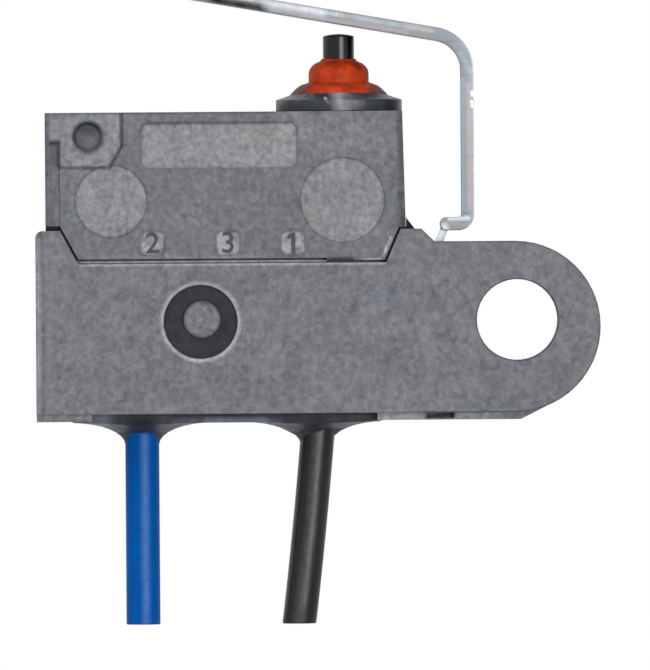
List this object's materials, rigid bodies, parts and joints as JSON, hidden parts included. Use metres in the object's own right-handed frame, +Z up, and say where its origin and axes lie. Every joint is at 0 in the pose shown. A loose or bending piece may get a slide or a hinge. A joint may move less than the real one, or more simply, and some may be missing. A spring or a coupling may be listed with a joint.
{
  "type": "micro switch",
  "caption": "Sealed micro switch with a bent steel lever over a booted plunger, a snap mechanism in a grey case, and a holder with a mounting ear and cut leads",
  "frame": {"origin": "centre of the mounting hole in the holder's ear, half way through it", "axes": "-Y is the front face and the way a screw leaves the ear, +Z is up along the plunger, +X towards the ear's round end"},
  "size_m": [0.0202, 0.0058, 0.0232],
  "materials": {
    "housing_grey": "fine moulded texture",
    "case_grey": "fine moulded texture",
    "base_black": "moulded",
    "retainer_dark": "satin",
    "boot_orange": "silicone, satin",
    "plunger_black": "smooth moulded",
    "lever_steel": "rolled, lightly brushed",
    "terminal_brass": "stamped",
    "contact_silver": "polished",
    "spring_steel": "drawn wire",
    "sealing_black": "cast resin",
    "insulation_blue": "extruded",
    "insulation_black": "extruded",
    "strand_copper": "cut copper wire",
    "solder_tin": "solder"
  },
  "bodies": {
    "housing": {"holder": "housing_grey", "switch_case": "case_grey", "terminal_base": "base_black", "boot_retainer": "retainer_dark", "boot": "boot_orange", "common_terminal": "terminal_brass", "normally_closed_terminal": "terminal_brass", "normally_open_terminal": "terminal_brass", "normally_closed_contact": "contact_silver", "normally_open_contact": "contact_silver", "snap_spring": "spring_steel", "potting": "sealing_black", "latch_ring_seals": "sealing_black", "seam_sealant": "sealing_black", "blue_lead_insulation": "insulation_blue", "blue_lead_strands": "strand_copper", "black_lead_insulation": "insulation_black", "black_lead_strands": "strand_copper", "blue_solder_joint": "solder_tin", "black_solder_joint": "solder_tin"},
    "lever": {"lever": "lever_steel"},
    "plunger": {"plunger": "plunger_black"},
    "contact_arm": {"moving_arm": "terminal_brass", "moving_contact": "contact_silver"}
  },
  "joints": [
    {"name": "lever_hinge", "type": "hinge", "parent": "housing", "child": "lever", "pos_m": [-0.00304, 0, 0.0022], "axis": [0, -1, 0], "range_deg": [0, 16], "stiffness_Nm_per_rad": 0.016},
    {"name": "plunger_slide", "type": "slide", "parent": "housing", "child": "plunger", "axis": [0, 0, -1], "range_m": [0, 0.00077], "deforming": ["boot"]},
    {"name": "arm_pivot", "type": "hinge", "parent": "housing", "child": "contact_arm", "pos_m": [-0.01485, 0, 0.0042], "axis": [0, 1, 0], "range_deg": [0, 3.2], "deforming": ["snap_spring"]}
  ],
  "couplings": [
    {"joint": "plunger_slide", "follows": "lever_hinge", "m_per_rad": 0.0027573},
    {"joint": "arm_pivot", "follows": "lever_hinge", "ratio": 0.2}
  ]
}
